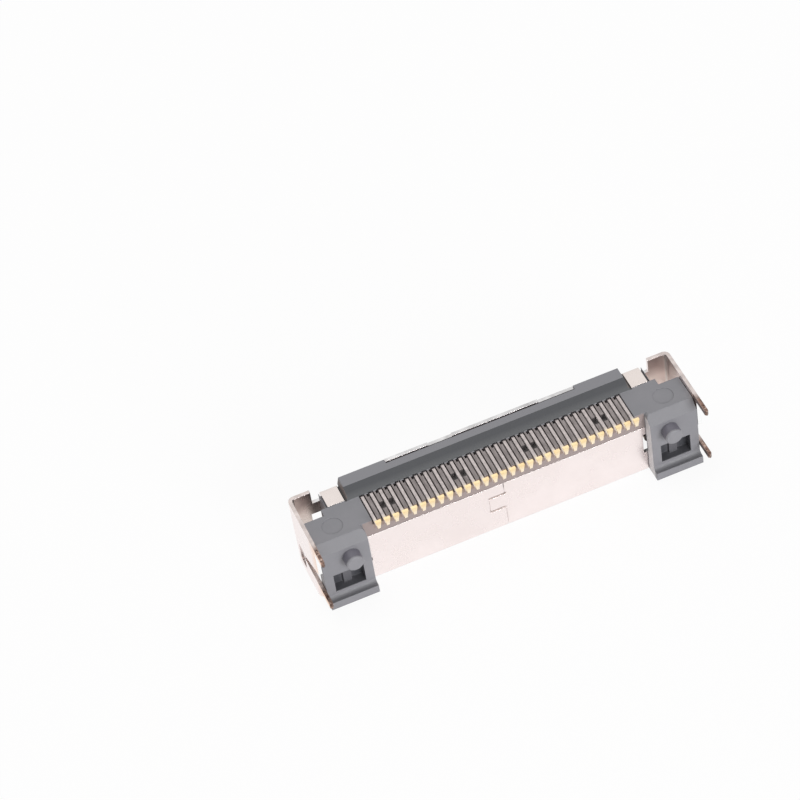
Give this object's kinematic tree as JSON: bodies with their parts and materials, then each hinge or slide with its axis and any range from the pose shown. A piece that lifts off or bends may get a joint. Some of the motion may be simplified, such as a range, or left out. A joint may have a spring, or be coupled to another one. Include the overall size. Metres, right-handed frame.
{
  "type": "dock connector",
  "caption": "Dock connector receptacle for a board: folded metal shell round a grey comb housing with a row of contacts, solder feet, four legs and two locating pegs.",
  "frame": {"origin": "middle of the mouth, in the plane of its rim", "axes": "+X along the row of contacts, -Y towards the circuit board that the pegs and legs enter, +Z from the mouth's rim towards the deck that carries the contact tails"},
  "size_m": [0.0218, 0.005, 0.0048],
  "materials": {
    "shell_plate": "bright tin plate on a folded sheet, with bare coppery edges at the legs",
    "housing_plastic": "grey moulded plastic with a fine matt grain",
    "contact_plate": "pale plated strip with gold solder foot"
  },
  "bodies": {
    "root": {"shell": "shell_plate", "housing": "housing_plastic", "contact_01": "contact_plate", "contact_02": "contact_plate", "contact_03": "contact_plate", "contact_04": "contact_plate", "contact_05": "contact_plate", "contact_06": "contact_plate", "contact_07": "contact_plate", "contact_08": "contact_plate", "contact_09": "contact_plate", "contact_10": "contact_plate", "contact_11": "contact_plate", "contact_12": "contact_plate", "contact_13": "contact_plate", "contact_14": "contact_plate", "contact_15": "contact_plate", "contact_16": "contact_plate", "contact_17": "contact_plate", "contact_18": "contact_plate", "contact_19": "contact_plate", "contact_20": "contact_plate", "contact_21": "contact_plate", "contact_22": "contact_plate", "contact_23": "contact_plate", "contact_24": "contact_plate", "contact_25": "contact_plate", "contact_26": "contact_plate", "contact_27": "contact_plate", "contact_28": "contact_plate", "contact_29": "contact_plate", "contact_30": "contact_plate"}
  },
  "joints": []
}
